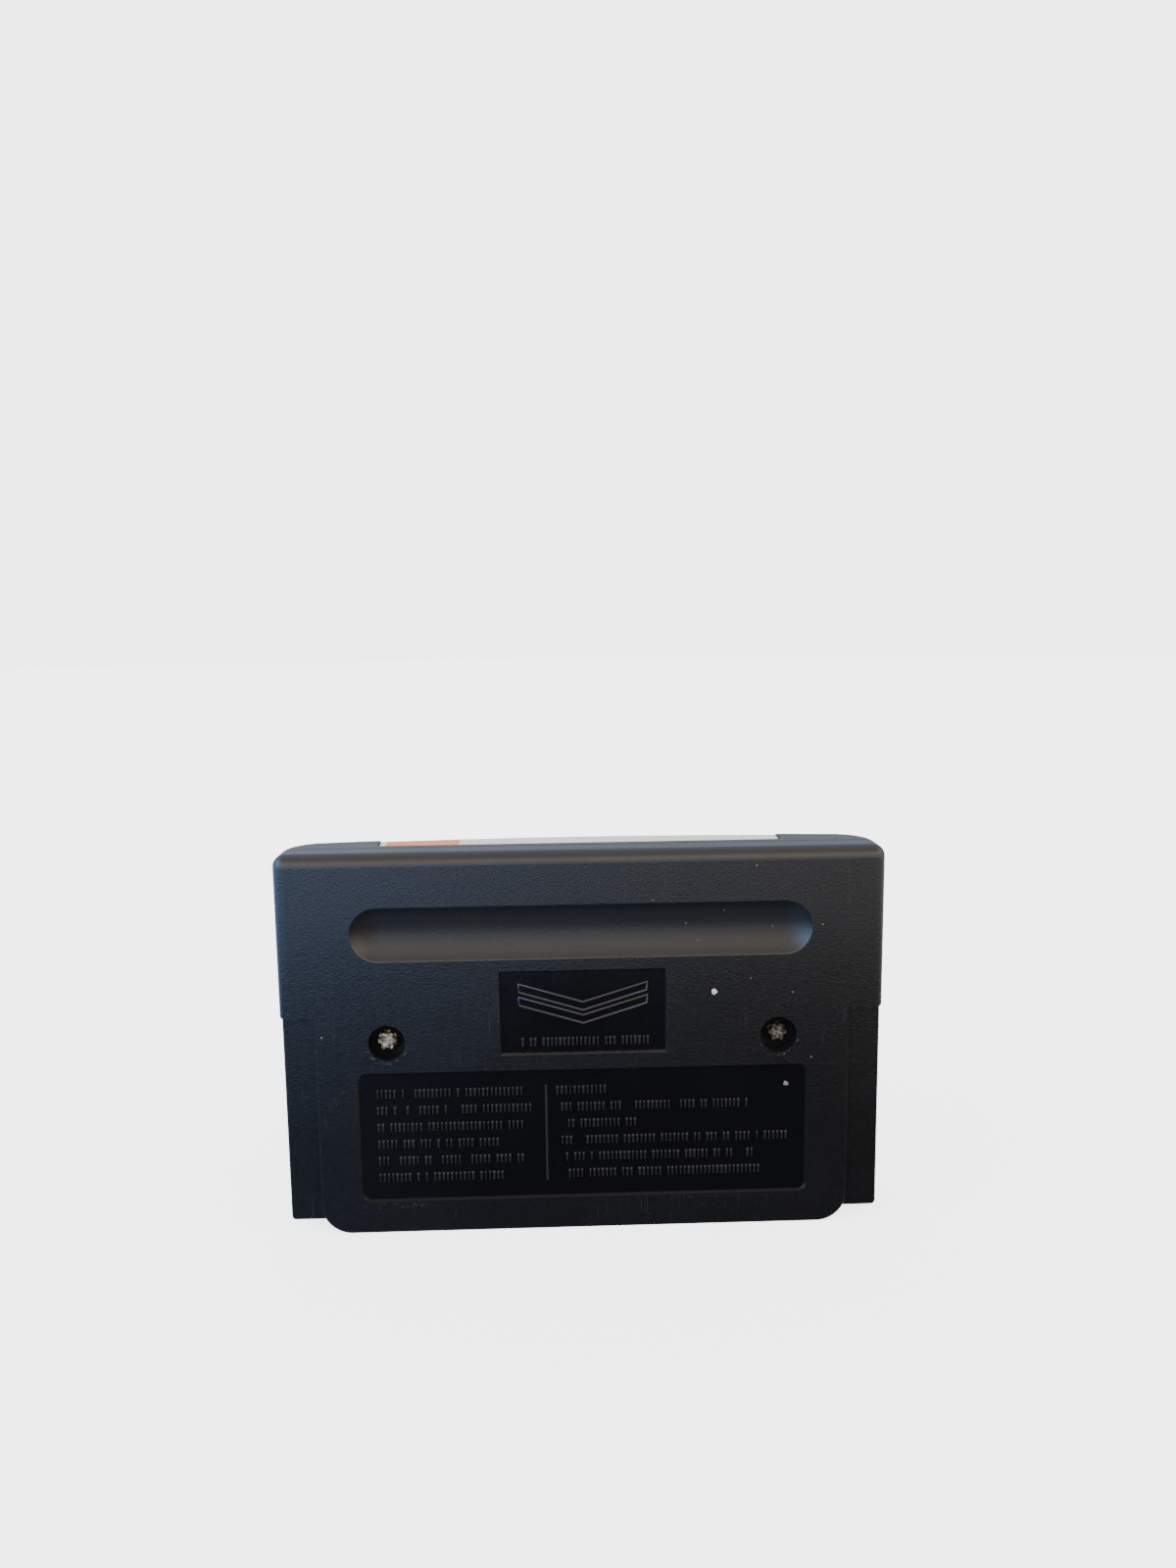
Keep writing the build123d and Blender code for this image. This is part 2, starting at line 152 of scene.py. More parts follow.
def feed(node, key, value):
    """Links a wire to a socket, or sets the socket's own value."""
    if isinstance(value, Wire):
        value.tree.links.new(value.socket, node.inputs[key])
    else:
        node.inputs[key].default_value = value


def distance_from(first, second):
    """The length of a step that is given by two numbers."""
    return (first * first + second * second).apply("SQRT")


print("node helper ready")

# %% [markdown]
# ## How a finish starts
# Every finish begins with a material, its shader, and the place on the cartridge. Patterns that are
# worked out from the place need no flattened map of the model, and they don't stretch. Dirt, and the
# shade that is painted into hollows, is dull where clean plastic or steel shines, so it isn't only a
# colour: it is a second shader, laid over the first where a mask says so.

# %% Helpers for finishes
dull_layer_roughness = 0.9
dull_layer_shine = 0.05


def colour(red, green, blue):
    """A colour with no transparency."""
    return (red, green, blue, 1.0)


def start_finish(name):
    """A new material, its shader, and the place on the cartridge in millimetres."""
    material = bpy.data.materials.new(name)
    material.use_nodes = True
    tree = material.node_tree
    metres = Wire(tree, tree.nodes.new("ShaderNodeTexCoord").outputs["Object"])
    place = metres.node("ShaderNodeVectorMath", {"operation": "SCALE"}, {0: metres, "Scale": 1.0 / MM})
    return material, tree.nodes["Principled BSDF"], place


def dress(shader, values):
    """Sets or links several sockets of a shader."""
    for key, value in values.items():
        feed(shader, key, value)


def cover(shader, base, mask):
    """Covers a shader with a dull layer, where a mask is 1."""
    dull = {"Base Color": base, "Roughness": dull_layer_roughness, "Specular IOR Level": dull_layer_shine}
    layer = mask.node("ShaderNodeBsdfPrincipled", {}, dull)
    clean = Wire(mask.tree, shader.outputs[0])
    stack = mask.node("ShaderNodeMixShader", {}, {0: mask, 1: clean, 2: layer})
    feed(mask.tree.nodes["Material Output"], "Surface", stack)


print("finish helpers ready")

# %% [markdown]
# ## Places on the back
# Gloss, dirt and painted shade follow the form of the case: the sunk panels were polished in the
# mould, the finger groove gathers dirt, and the screw wells and the panels' sloped walls are darkened
# with painted shade. A map could be painted for that. Here a few functions turn a place into a mask
# instead, from the sizes of the moulding. A panel's outline is the middle of its sloped wall, and a
# depth is measured from the flat back towards the front. Here and below, a pair of values says where
# a soft mask starts and where it is full.

# %% Panels, groove and wells
upper_panel = {"half": 14.75, "foot": 33.25, "top": 48.45, "corner": 0.3}
lower_panel = {"half": 40.15, "foot": 6.15, "top": 30.15, "corner": 1.45}
panel_wall = 0.18
groove_middle = 55.6
groove_half = 4.8
groove_reach = 40.8
groove_start = (0.05, 0.3)
well_radius = 3.25
wells_start = (0.2, 0.7)
down_to_wells = (3.6, 3.2)
screw_low, screw_high = (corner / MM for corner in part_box("case_screws"))
screw_height = (screw_low.z + screw_high.z) / 2
screw_reach = screw_high.x - (screw_high.z - screw_low.z) / 2


def past_panel(x, z, panel):
    """How far a place lies past the middle of the wall round a sunk panel."""
    corner = panel["corner"]
    middle = (panel["top"] + panel["foot"]) / 2
    tall = (panel["top"] - panel["foot"]) / 2
    over_x = (x.apply("ABSOLUTE") - (panel["half"] - corner)).either(0.0)
    over_z = ((z - middle).apply("ABSOLUTE") - (tall - corner)).either(0.0)
    return distance_from(over_x, over_z) - corner


def from_screw(x, z):
    """How far a place lies from the axis of the nearer screw."""
    return distance_from(x.apply("ABSOLUTE") - screw_reach, z - screw_height)


def inside_groove(x, depth, z):
    """1 on the round of the finger groove."""
    level = z.band(groove_middle - groove_half, groove_middle + groove_half, 0.1)
    reach = x.apply("ABSOLUTE").below(groove_reach, 0.2)
    return level * reach * depth.ramp(*groove_start) * depth.ramp(*down_to_wells)


def inside_wells(x, depth, z):
    """1 on the walls and floors of the screw wells."""
    near = from_screw(x, z).ramp(well_radius + 0.1, well_radius)
    return near * depth.ramp(*wells_start) * depth.ramp(*down_to_wells)


print("screws in mm: across", round(screw_reach, 2), "up", round(screw_height, 2))

# %% [markdown]
# ## Wear
# Three kinds of wear lie on the plastic. Hairlines come from a console's slot, so they are upright
# and stretched. Scuffs are chipped spots on edges that get knocked: the rims of the wells, the steps
# of the guide strips and the ledge under the lower panel. Dust sits in the grain, more of it low
# down. Each takes only the peaks of a noise, so it comes in specks and not as a haze.

# %% Hairlines, scuffs and dust
# A band is a start, an end and the softness of both
hairline_width = 0.16
hairline_length = 7.0
hairline_lean = 0.14  # radians
hairline_peaks = (0.68, 0.74)
hairline_patch = 11.0
hairline_patch_peaks = (0.55, 0.68)
chip_size = 0.7
chip_peaks = (0.5, 0.66)
rim_drop = 0.3
rim_band = (0.1, 0.45, 0.2)
rim_fade = 2.0
strip_edge = 47.8
step_band = (-0.5, 0.1, 0.25)
step_heights = (40.6, 30.0)
step_share = 0.2
ledge_scuffs = [
    {"under": (0.5, 1.4, 0.4), "across": (-40.0, -29.0, 4.0), "share": 0.4},
    {"under": (0.5, 0.9, 0.2), "across": (12.0, 38.0, 6.0), "share": 0.2},
]
dust_size = 0.5
dust_peaks = (0.56, 0.74)
dust_patch = 9.0
dust_patch_peaks = (0.48, 0.7)
dust_top = 48.0


def hairlines(place):
    """Thin upright scratches, only in a few patches."""
    thin = (1 / hairline_width, 1.0, 1 / hairline_length)
    streaks = place.stretched(thin, (0.0, hairline_lean, 0.0)).blotches(1.0, 1.0)
    patches = place.blotches(hairline_patch, 1.0)
    return streaks.ramp(*hairline_peaks) * patches.ramp(*hairline_patch_peaks)


def scuffs(place, x, z):
    """Rubbed places: round the wells, along the strips' steps and under the lower panel."""
    reach = x.apply("ABSOLUTE")
    from_rim = distance_from(reach - screw_reach, z - (screw_height - rim_drop)) - well_radius
    rims = from_rim.band(*rim_band) * z.ramp(screw_height, screw_height - rim_fade)
    steps = (reach - strip_edge).band(*step_band) * z.ramp(*step_heights)
    rubbed = rims + step_share * steps
    for ledge in ledge_scuffs:
        under = (lower_panel["foot"] - z).band(*ledge["under"])
        rubbed = rubbed + ledge["share"] * (under * x.band(*ledge["across"]))
    return place.blotches(chip_size, 4.0).ramp(*chip_peaks) * rubbed


def dust(place, z):
    """Specks in the grain, in patches that thicken towards the foot."""
    specks = place.blotches(dust_size, 4.0).ramp(*dust_peaks)
    patches = place.blotches(dust_patch, 3.0).ramp(*dust_patch_peaks)
    return specks * patches * z.ramp(dust_top, 0.0)


print("wear helpers ready")

# %% [markdown]
# ## Charcoal case plastic
# The shells are moulded in steel that was spark-eroded to a fine grain, so the plastic is matt and
# every edge catches light softly. Hands have smoothed the lower part of the back, and the groove has
# kept its grain. The grain could be sculpted, but it is about as fine as a pixel, so it is a bump.
# Dull dark layers on the panels' sloped walls and in the wells are painted shade, and dull dirt lies deep
# in the groove.

# %% Tones and grain of the plastic
grain_size = 0.34
grain_depth = 0.05
grain_strength = 0.85
mottle_size = 0.9
mottle_relief = 0.35
smudge_size = 14.0
matt_roughness = 0.28
hand_polish = 0.085
handled_heights = (62.0, 46.0)
panel_polish = 0.06
groove_matt = 0.18
wear_matt = 0.2
mottle_matt = 0.08
smudge_matt = 0.1
top_edge = 0.6
top_smoothing = 0.6
dust_share = 0.3
scuff_share = 0.45
hairline_share = 0.2
moulded_dark = (0.004, 0.0041, 0.0044)
moulded_pale = (0.0076, 0.0078, 0.0084)
panel_black = colour(0.0036, 0.0039, 0.0045)
scuff_grey = colour(0.085, 0.082, 0.078)
hairline_grey = colour(0.07, 0.075, 0.085)


def lifted_tone(tone, highlight_and_wear_lift):
    """A tone with a little grey added."""
    return colour(*(part + highlight_and_wear_lift for part in tone))


print("case roughness:", matt_roughness, "groove:", round(matt_roughness + groove_matt, 2))

# %% Painted shade and dull dirt
wall_shade = 0.2
extra_lower_wall_shade = 0.6
well_shade = 0.6
groove_dirt = 0.36
groove_deep = (0.6, 2.0)
# Near black painted shade for the panels' walls and the wells
painted_shade_black = colour(0.0072, 0.0068, 0.0066)
groove_dust = colour(0.02, 0.018, 0.016)


def shade_and_soil(walls, groove, wells, depth, z):
    """What colour the dull layer has, and how much of it lies where: painted shade on the panels' walls and
    in the wells, and dirt deep in the groove.
    """
    on_lower = z.ramp(upper_panel["foot"] - 1.0, lower_panel["top"] + 1.0)
    mask = ((wall_shade + extra_lower_wall_shade * on_lower) * walls).either(well_shade * wells)
    mask = mask.either(groove_dirt * (groove * depth.ramp(*groove_deep)))
    return groove.mix(painted_shade_black, groove_dust), mask


# The printed value is the share of painted shade on the lower panel's walls
print("dirt on the lower panel's walls:", wall_shade + extra_lower_wall_shade)

# %% Case plastic
back_depths = (1.2, 0.8)
scuff_depths = (1.6, 1.2)


def case_plastic(name, polish, highlight_and_wear_lift):
    """Charcoal plastic with a share of the sunk panels' polish, and lightened by a little grey, which on
    the raised marks is partly rubbed wear and partly a painted highlight.
    """
    material, shader, place = start_finish(name)
    x, y, z = place.split()
    depth = y - back_plane
    on_back = depth.ramp(*back_depths)
    past = past_panel(x, z, upper_panel).least(past_panel(x, z, lower_panel))
    panels = past.ramp(0.0, -panel_wall) * on_back
    polished = polish * panels
    groove = inside_groove(x, depth, z)
    grain = place.blotches(grain_size, 3.0)
    mottle = place.blotches(mottle_size, 2.0)
    smudges = place.blotches(smudge_size, 3.0)
    worn = dust_share * dust(place, z) + scuffs(place, x, z) * depth.ramp(*scuff_depths)
    worn = worn * (1 - panels)
    rubbed = hairlines(place) * (1 - panels)
    base = grain.mix(lifted_tone(moulded_dark, highlight_and_wear_lift), lifted_tone(moulded_pale, highlight_and_wear_lift))
    base = polished.mix(base, panel_black)
    base = (scuff_share * worn).mix(base, scuff_grey)
    base = (hairline_share * rubbed).mix(base, hairline_grey)
    roughness = matt_roughness - hand_polish * z.ramp(*handled_heights) - panel_polish * polished
    roughness = roughness + groove_matt * groove + wear_matt * worn
    roughness = roughness + mottle_matt * (mottle - 0.5) + smudge_matt * (smudges - 0.5)
    height = (grain + mottle_relief * mottle) * (1 - polished)
    height = height * (1 - top_smoothing * z.ramp(case_top - top_edge, case_top))
    normal = height.bump(grain_strength, grain_depth)
    dress(shader, {"Base Color": base, "Roughness": roughness, "Normal": normal})
    # The panels' sloped walls and the wells get painted shade as a dark dull layer, and dull dirt lies deep
    # in the groove
    walls = past.band(-panel_wall, panel_wall, 0.05) * on_back
    cover(shader, *shade_and_soil(walls, groove, inside_wells(x, depth, z), depth, z))
    return material


plastic = case_plastic("case_plastic", 1.0, 0.0)
print("case plastic nodes:", len(plastic.node_tree.nodes))

# %% [markdown]
# ## Screw steel
# The two case screws are the same part, but one has stayed bright and the other has tarnished. One
# material can hold both: a soft step across the cartridge tells left from right. The distance from
# the screw's axis tells the rubbed head from the flange, which gets a dull black layer: painted shade
# for the deep flange, with some grime in it. Grime also fills the pits of the head. In the middle of
# the tarnished head, bright specks are partly rubbed steel and partly painted glints.

# %% Screw steel
side_step = (-5.0, 5.0)
flange_shade_radii = (1.45, 1.8)
glint_radii = (1.3, 0.7)
spot_size = 0.6
spot_spread = 0.7
bright_spots = (0.4, 0.6)
dull_spots = (0.48, 0.62)
pit_size = 0.34
pit_depth = 0.14
filled_pits = (0.46, 0.6)
bright_steel = [colour(0.22, 0.165, 0.095), colour(0.58, 0.5, 0.39)]
tarnish_and_glint_steel = [colour(0.1, 0.077, 0.06), colour(0.32, 0.26, 0.21)]
# Dull black for grime in the pits and for the painted shade on the flanges
soot_and_shade = [colour(0.004, 0.0036, 0.0032), colour(0.012, 0.0105, 0.009)]


def screw_steel():
    """Worn steel, bright on the left screw and tarnished on the right one, with painted shade on the
    flanges and painted glints among the rubbed specks of the right head.
    """
    material, shader, place = start_finish("screw_steel")
    x, _, z = place.split()
    tarnish = x.ramp(*side_step)
    spots = place.blotches(spot_size, 3.0)
    pits = place.blotches(pit_size, 2.0)
    from_axis = from_screw(x, z) + spot_spread * (spots - 0.5)
    bright = spots.ramp(*bright_spots).mix(*bright_steel)
    # Bright specks near the middle of the right head are partly rubbed steel and partly painted glints
    dull = (spots.ramp(*dull_spots) * from_axis.ramp(*glint_radii)).mix(*tarnish_and_glint_steel)
    dress(
        shader,
        {
            "Base Color": tarnish.mix(bright, dull),
            "Metallic": 1.0,
            "Roughness": 0.3 + 0.12 * tarnish + 0.2 * spots,
            "Normal": (pits + spots).bump(0.8, pit_depth),
        },
    )
    filled = pits.ramp(*filled_pits) * (0.65 + 0.15 * tarnish)
    # Beyond the head the flange gets a dull black layer, which is painted shade with some grime, and grime
    # fills the pits
    cover(shader, pits.mix(*soot_and_shade), from_axis.ramp(*flange_shade_radii).either(filled))
    return material


steel = screw_steel()
print("screw steel nodes:", len(steel.node_tree.nodes))

# %% [markdown]
# ## Printed label
# The label is one sheet of coated paper, folded over the top edge. Its print is a plain design of
# the builder's own: a low sun with bars across it, above two ranges of hills, in warm orange, cream
# and dark blue. Each field of colour is a mask made from distances, so it stays sharp at any size.
# The paper's rim and parts of the fold are worn down to bare paper.

# %% Label print
label_low, label_high = (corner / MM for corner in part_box("label"))
cream = colour(0.83, 0.75, 0.62)
orange = colour(0.8, 0.24, 0.045)
deep_red = colour(0.5, 0.055, 0.03)
night_blue = colour(0.02, 0.035, 0.085)
hill_blue = colour(0.05, 0.12, 0.24)
low_sky = colour(0.86, 0.66, 0.42)
bare_paper = colour(0.86, 0.85, 0.82)
sun_height = 40.0
sun_radius = 15.0
sun_bar_pitch = 4.2
sun_bar_share = 0.26
sun_bars_top = 44.0
far_hills = {"height": 28.5, "swell": 2.2, "length": 41.0, "shift": 6.0}
near_hills = {"height": 22.0, "swell": 2.6, "length": 57.0, "shift": -9.0}
title_foot = 60.0
title_line = 0.6
title_end = -22.0
border = 1.05
print_edge = 0.05
hill_edge = 0.08
sun_edge = 0.1
worn_rim = 0.35
fold_band = (0.1, 0.8, 0.25)
fold_patch = 6.0
fold_peaks = (0.5, 0.62)
fold_share = 0.4
chafe_size = 0.5
chafe_peaks = (0.45, 0.65)
fibre_size = 0.35
fibre_depth = 0.03


def skyline(x, height, swell, length, shift):
    """How high a range of hills is, as two waves across the label."""
    wave = (x + shift) * (2 * math.pi / length)
    return height + swell * wave.apply("SINE") + 0.4 * swell * (wave * 2.7).apply("SINE")


def label_picture(x, z):
    """The printed fields, from the sky at the back to the border in front."""
    bars = (z * (1 / sun_bar_pitch)).apply("FRACT").below(sun_bar_share, 0.02)
    bars = bars * z.below(sun_bars_top, sun_edge)
    sun = distance_from(x, z - sun_height).below(sun_radius, sun_edge) * (1 - bars)
    glow = z.ramp(sun_height - sun_radius, sun_height + sun_radius).mix(deep_red, orange)
    base = sun.mix(z.ramp(label_low.z, label_high.z).mix(low_sky, cream), glow)
    base = (skyline(x, **far_hills) - z).above(0.0, hill_edge).mix(base, hill_blue)
    base = (skyline(x, **near_hills) - z).above(0.0, hill_edge).mix(base, night_blue)
    title = x.below(title_end, print_edge).mix(cream, orange)
    base = z.above(title_foot, print_edge).mix(base, title)
    base = z.band(title_foot - title_line, title_foot, print_edge).mix(base, night_blue)
    sides = x.apply("ABSOLUTE").above(label_high.x - border, print_edge)
    return sides.either(z.below(label_low.z + border, print_edge)).mix(base, cream)


def label_wear(place, x, y, z):
    """Where the print is rubbed off: along the rim, and in patches along the fold."""
    inside = (label_high.x - x.apply("ABSOLUTE")).least(z - label_low.z).least(y - label_low.y)
    rim = inside.ramp(worn_rim, 0.0)
    fold = (label_high.z - z).band(*fold_band) * place.blotches(fold_patch, 2.0).ramp(*fold_peaks)
    return place.blotches(chafe_size, 4.0).ramp(*chafe_peaks) * (rim + fold_share * fold)


def label_print():
    """Coated paper with the picture and its wear."""
    material, shader, place = start_finish("label_print")
    x, y, z = place.split()
    fibres = place.stretched((1.0, 1.0, 0.35)).blotches(fibre_size, 4.0)
    worn = label_wear(place, x, y, z)
    base = (worn * 0.8).mix(label_picture(x, z), bare_paper)
    dress(
        shader,
        {
            "Base Color": (fibres * 0.1).mix(base, bare_paper),
            "Roughness": 0.38 + 0.3 * worn + 0.1 * fibres,
            "Normal": (fibres + 2.0 * worn).bump(0.25, fibre_depth),
        },
    )
    return material


printed = label_print()
print("label nodes:", len(printed.node_tree.nodes))

# %% [markdown]
# ## What shows in the connector mouth
# Seen from below, the mouth shows a green board with gold contacts. Deeper inside are a memory
# chip, its tinned leads and two capacitors. They are small, so each finish stays a short recipe:
# a base that changes a little from place to place, and a roughness that follows it.

# %% Finishes of the board and its parts
contact_pitch = 2.54
track_share = (0.38, 0.62)
mask_depth = 0.03
speckle_depth = 0.02
can_stripe = (0.4, 1.7)


def speckled(name, first, second, size, rough, metal, bump):
    """A finish that drifts between two colours in blotches of a size."""
    material, shader, place = start_finish(name)
    blots = place.blotches(size, 3.0)
    dress(
        shader,
        {
            "Base Color": blots.mix(colour(*first), colour(*second)),
            "Roughness": rough + 0.15 * (blots - 0.5),
            "Metallic": metal,
            "Normal": blots.bump(bump, speckle_depth),
        },
    )
    return material


def solder_mask():
    """Green lacquer over a woven laminate, with copper tracks that show through."""
    material, shader, place = start_finish("solder_mask")
    x, _, _ = place.split()
    weave = place.stretched((1.6, 1.0, 1.6)).blotches(1.0, 2.0)
    tracks = (x * (1 / contact_pitch)).apply("FRACT").band(*track_share, 0.02)
    tracks = tracks * place.blotches(7.0, 0.0).ramp(0.46, 0.5)
    base = weave.mix(colour(0.006, 0.055, 0.02), colour(0.012, 0.085, 0.032))
    base = tracks.mix(base, colour(0.03, 0.15, 0.05))
    normal = (weave * 0.3 + tracks).bump(0.4, mask_depth)
    dress(shader, {"Base Color": base, "Roughness": 0.3 + 0.1 * weave, "Normal": normal})
    return material


def can_sleeve():
    """A dark blue plastic sleeve with a pale stripe along one side."""
    material, shader, place = start_finish("can_sleeve")
    _, _, z = place.split()
    axis_height = sum(corner.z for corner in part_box("electrolytic_capacitor")) / 2 / MM
    stripe = (z - axis_height).band(*can_stripe, 0.05)
    scuff = place.blotches(1.2, 3.0)
    base = scuff.mix(colour(0.012, 0.016, 0.05), colour(0.02, 0.026, 0.075))
    base = stripe.mix(base, colour(0.5, 0.52, 0.55))
    normal = scuff.bump(0.2, speckle_depth)
    dress(shader, {"Base Color": base, "Roughness": 0.22 + 0.15 * scuff, "Normal": normal})
    return material


# Two colours, and then the size of the blotches, roughness, metal and strength of the bump
gold = speckled("contact_gold", (0.66, 0.42, 0.13), (0.86, 0.62, 0.25), 1.6, 0.28, 1.0, 0.2)
tin = speckled("lead_tin", (0.5, 0.5, 0.5), (0.72, 0.72, 0.71), 0.4, 0.35, 1.0, 0.3)
epoxy = speckled("chip_epoxy", (0.012, 0.012, 0.013), (0.022, 0.022, 0.023), 0.3, 0.5, 0.0, 0.4)
rubber = speckled("seal_rubber", (0.012, 0.012, 0.012), (0.026, 0.026, 0.025), 0.5, 0.7, 0.0, 0.3)
dipped = speckled("ceramic_dip", (0.34, 0.12, 0.025), (0.5, 0.2, 0.05), 1.1, 0.3, 0.0, 0.3)
finishes = {
    "rear_shell": plastic,
    "front_shell": plastic,
    "label": printed,
    "case_screws": steel,
    "circuit_board": solder_mask(),
    "front_contacts": gold,
    "rear_contacts": gold,
    "memory_chip": epoxy,
    "memory_chip_leads": tin,
    "electrolytic_capacitor": can_sleeve(),
    "electrolytic_seal": rubber,
    "electrolytic_leads": tin,
    "ceramic_capacitor": dipped,
    "ceramic_leads": tin,
}
for node_name, material in finishes.items():
    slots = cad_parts[node_name].data.materials
    slots.clear()
    slots.append(material)
print("finishes:", len(set(finishes.values())), "on nodes:", len(finishes))

# %% [markdown]
# ## Growing pieces with Geometry Nodes
# What a mould leaves in relief repeats, or follows a path, so it is grown by node trees. Each tree
# takes a simple mesh of edges or points and named sizes. The result is turned into a plain mesh,
# because instances and live modifiers don't travel with an exported model. One helper opens a tree,
# one closes it and one runs it. The last makes a mesh of edges from paths on the back.

# %% Helpers for the trees


def start_tree(name, sizes):
    """A new tree with a mesh input and named sizes in metres, and the wires of those inputs."""
    tree = bpy.data.node_groups.new(name, "GeometryNodeTree")
    tree.interface.new_socket("Mesh", in_out="INPUT", socket_type="NodeSocketGeometry")
    for size in sizes:
        tree.interface.new_socket(size, in_out="INPUT", socket_type="NodeSocketFloat")
    tree.interface.new_socket("Mesh", in_out="OUTPUT", socket_type="NodeSocketGeometry")
    entry = tree.nodes.new("NodeGroupInput")
    return [Wire(tree, entry.outputs[label]) for label in ["Mesh", *sizes]]


def end_tree(shape, material):
    """Closes a tree: its instances become real and take a material."""
    real = shape.node("GeometryNodeRealizeInstances", {}, {"Geometry": shape})
    painted = real.node("GeometryNodeSetMaterial", {}, {"Geometry": real, "Material": material})
    feed(painted.tree.nodes.new("NodeGroupOutput"), "Mesh", painted)
    return painted.tree


def grow(name, mesh, tree, sizes):
    """Runs a tree over a mesh, and keeps what it grew as a plain mesh on the cartridge."""
    piece = bpy.data.objects.new(name, mesh)
    bpy.context.scene.collection.objects.link(piece)
    maker = piece.modifiers.new(name, "NODES")
    maker.node_group = tree
    for socket in tree.interface.items_tree:
        if socket.in_out == "INPUT" and socket.name in sizes:
            maker[socket.identifier] = sizes[socket.name]
    graph = bpy.context.evaluated_depsgraph_get()
    grown = bpy.data.meshes.new_from_object(piece.evaluated_get(graph))
    piece.modifiers.clear()
    piece.data = grown
    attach(piece, "root")
    print(name, "faces:", len(grown.polygons))
    return piece


def path_mesh(name, paths, depth):
    """Edges along paths on the back, given across and up, closed where the ends meet."""
    shape = bmesh.new()
    for path in paths:
        corners = [shape.verts.new((x * MM, (back_plane + depth) * MM, z * MM)) for x, z in path]
        for first, second in zip(corners, corners[1:]):
            shape.edges.new((first, second))
    bmesh.ops.remove_doubles(shape, verts=shape.verts, dist=0.01 * MM)
    mesh = bpy.data.meshes.new(name)
    shape.to_mesh(mesh)
    shape.free()
    return mesh


print("tree helpers ready")

# %% [markdown]
# ## Raised ridges
# The upper panel has two outlined chevrons, which point down, the way the cartridge goes in. An
# upright ridge divides the lower panel. A ridge could be modelled by hand, but a tree that sweeps a
# round section along any path makes all of them at once. Half of the section is sunk in the panel's
# floor, as a moulded bead is.

# %% Chevrons and divider
panel_sink = 0.4
chevron_count = 2
chevron_half = 11.4
chevron_top = 46.1
chevron_drop = 3.5
chevron_band = 1.5
chevron_pitch = 2.4
divider_place = -6.85
divider_ends = (9.2, 27.3)
ridge_radius = 0.26
ridge_sides = 10
# The raised marks are lightened by a little grey, partly rubbed wear and partly a painted highlight
mark_plastic = case_plastic("mark_plastic", 0.0, 0.009)


def ridge_tree():
    """Sweeps a round section along every path."""
    paths, radius = start_tree("raised_ridges", ["Radius"])
    curve = paths.node("GeometryNodeMeshToCurve", {}, {"Mesh": paths})
    circle = {"Resolution": ridge_sides, "Radius": radius}
    section = paths.node("GeometryNodeCurvePrimitiveCircle", {}, circle)
    sweep = {"Curve": curve, "Profile Curve": section, "Fill Caps": True}
    return end_tree(curve.node("GeometryNodeCurveToMesh", {}, sweep), mark_plastic)


ridge_paths = [[(divider_place, height) for height in divider_ends]]
for number in range(chevron_count):
    top = chevron_top - number * chevron_pitch
    upper_line = [(-chevron_half, top), (0.0, top - chevron_drop), (chevron_half, top)]
    lower_line = [(x, z - chevron_band) for x, z in reversed(upper_line)]
    ridge_paths.append([*upper_line, *lower_line, upper_line[0]])
ridge_mesh = path_mesh("raised_ridges", ridge_paths, panel_sink)
grow("raised_ridges", ridge_mesh, ridge_tree(), {"Radius": ridge_radius * MM})

# %% [markdown]
# ## Rows of raised ribs
# Both panels also have rows of small raised ribs, which break up the light as fine relief does.
# Hundreds of ribs are a task for instances: the tree turns each row into evenly spaced points,
# drops some of them at random and puts a tapered bar on the rest, a little wider or narrower. The
# bar is a cone with four sides, turned to face out of the back, and its foot is sunk in the floor of
# the panel.

# %% Rib rows
rib_relief = 0.28
rib_foot = 0.05
rib_sizes = {"Pitch": 0.74, "Width": 0.36, "Height": 1.7, "Relief": rib_relief + rib_foot}
rib_spread = (0.8, 1.5)
gap_share = 0.16
gap_seed = 11
spread_seed = 3
rows_top = 25.4
row_pitch = 3.17
left_start = -37.0
left_ends = [-11.3, -9.0, -11.3, -15.0, -11.3, -15.0]
right_starts = [-4.8, -4.0, -2.8, -4.0, -4.0, -2.8]
right_ends = [3.7, 29.3, 9.1, 36.5, 30.3, 32.3]
upper_row = [(-11.6, 34.5), (11.5, 34.5)]


def rib_bar(width, height, relief):
    """One tapered bar that stands on its row and faces out of the back."""
    sides = {"Vertices": 4, "Radius Top": 0.5, "Radius Bottom": math.sqrt(0.5), "Depth": 1.0}
    cone = width.node("GeometryNodeMeshCone", {}, sides)
    square = cone.node("GeometryNodeTransform", {}, {"Geometry": cone, "Rotation": (0.0, 0.0, math.pi / 4)})
    size = width.node("ShaderNodeCombineXYZ", {}, {"X": width, "Y": height, "Z": relief})
    lift = width.node("ShaderNodeCombineXYZ", {}, {"Z": height * 0.5})
    upright = (math.pi / 2, 0.0, 0.0)
    facing = {"Geometry": square, "Translation": lift, "Rotation": upright, "Scale": size}
    return square.node("GeometryNodeTransform", {}, facing)


